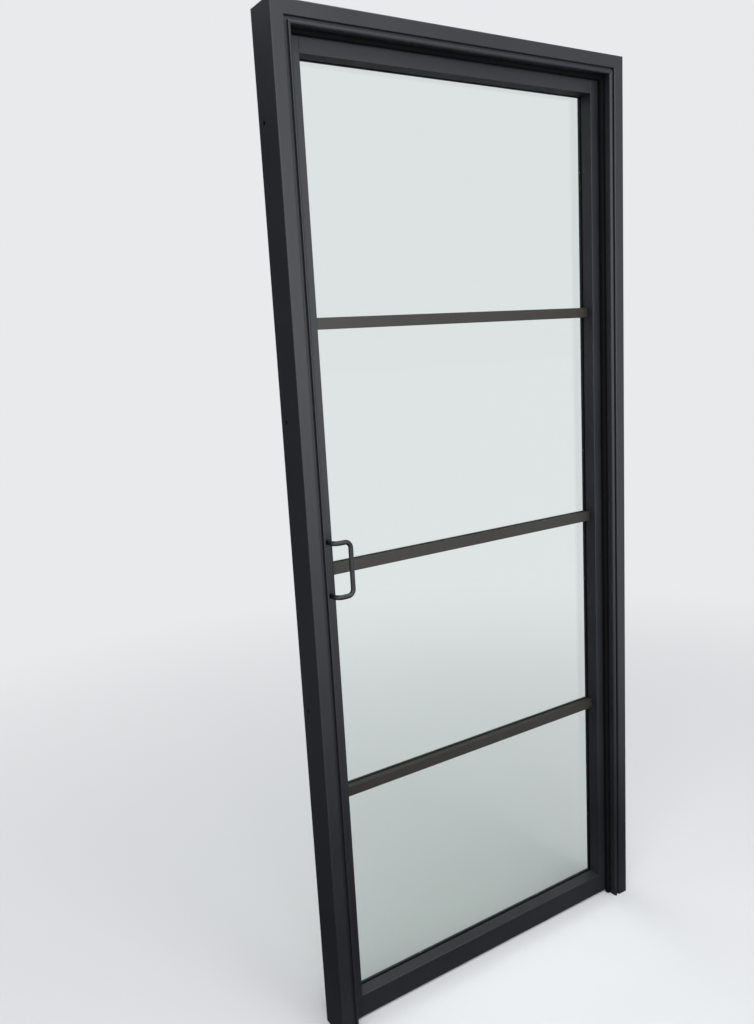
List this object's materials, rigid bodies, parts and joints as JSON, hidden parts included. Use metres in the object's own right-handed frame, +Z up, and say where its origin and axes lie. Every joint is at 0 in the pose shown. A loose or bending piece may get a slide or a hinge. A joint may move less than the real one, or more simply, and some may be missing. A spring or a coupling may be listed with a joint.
{
  "type": "framed glass door",
  "caption": "Single swing door with one glass sheet, slim bars across it, cranked bar handles and a dark steel frame with a grooved stop.",
  "frame": {"origin": "on the floor line, in the middle of the frame's width and of the leaf's thickness", "axes": "+X towards the hinges, to the right seen from the front; +Y from the front face to the back, the way the leaf opens; +Z up"},
  "size_m": [0.89, 0.142, 2.1],
  "materials": {
    "frame_coating": "satin",
    "leaf_coating": "satin",
    "bar_coating": "satin",
    "handle_coating": "satin",
    "clear_glass": "polished",
    "seal_rubber": "matte",
    "gasket_rubber": "matte",
    "bonding_tape": "matte",
    "packer_plastic": "matte",
    "hinge_steel": "ground",
    "washer_brass": "turned",
    "screw_steel": "zinc plated",
    "catch_steel": "brushed",
    "spring_steel": "drawn wire",
    "roller_nylon": "moulded"
  },
  "bodies": {
    "frame": {"frame_head": "frame_coating", "jamb_left": "frame_coating", "jamb_right": "frame_coating", "seal_head": "seal_rubber", "seal_left": "seal_rubber", "seal_right": "seal_rubber", "catch_keep": "catch_steel", "keep_screws": "screw_steel", "hinge_lower_1": "frame_coating", "hinge_pin_1": "hinge_steel", "hinge_washer_1": "washer_brass", "hinge_lower_2": "frame_coating", "hinge_pin_2": "hinge_steel", "hinge_washer_2": "washer_brass", "hinge_lower_3": "frame_coating", "hinge_pin_3": "hinge_steel", "hinge_washer_3": "washer_brass"},
    "leaf": {"stile_handle": "leaf_coating", "stile_hinge": "leaf_coating", "top_rail": "leaf_coating", "bottom_rail": "leaf_coating", "glass": "clear_glass", "gasket_front": "gasket_rubber", "gasket_rear": "gasket_rubber", "glazing_packers": "packer_plastic", "bead_left": "leaf_coating", "bead_right": "leaf_coating", "bead_top": "leaf_coating", "bead_bottom": "leaf_coating", "bead_screws": "screw_steel", "bar_front_1": "bar_coating", "bar_front_2": "bar_coating", "bar_front_3": "bar_coating", "bar_rear_1": "bar_coating", "bar_rear_2": "bar_coating", "bar_rear_3": "bar_coating", "bar_tapes": "bonding_tape", "handle_front": "handle_coating", "handle_rear": "handle_coating", "handle_studs": "screw_steel", "hinge_upper_1": "leaf_coating", "hinge_upper_2": "leaf_coating", "hinge_upper_3": "leaf_coating", "catch_case": "catch_steel", "catch_spring": "spring_steel", "catch_screws": "screw_steel"},
    "catch_plunger": {"catch_plunger": "catch_steel", "catch_pin": "hinge_steel"},
    "catch_roller": {"catch_roller": "roller_nylon"}
  },
  "joints": [
    {"name": "leaf_swing", "type": "hinge", "parent": "frame", "child": "leaf", "pos_m": [0.4155, 0.0315, 1.037], "axis": [0, 0, -1], "range_deg": [0, 170]},
    {"name": "catch_press", "type": "slide", "parent": "leaf", "child": "catch_plunger", "axis": [0, 0, -1], "range_m": [0, 0.0044], "stiffness_N_per_m": 800, "springref_m": -0.006, "deforming": ["catch_spring"]},
    {"name": "roller_spin", "type": "hinge", "parent": "catch_plunger", "child": "catch_roller", "pos_m": [-0.344, 0, 2.0672], "axis": [1, 0, 0], "continuous": true}
  ]
}
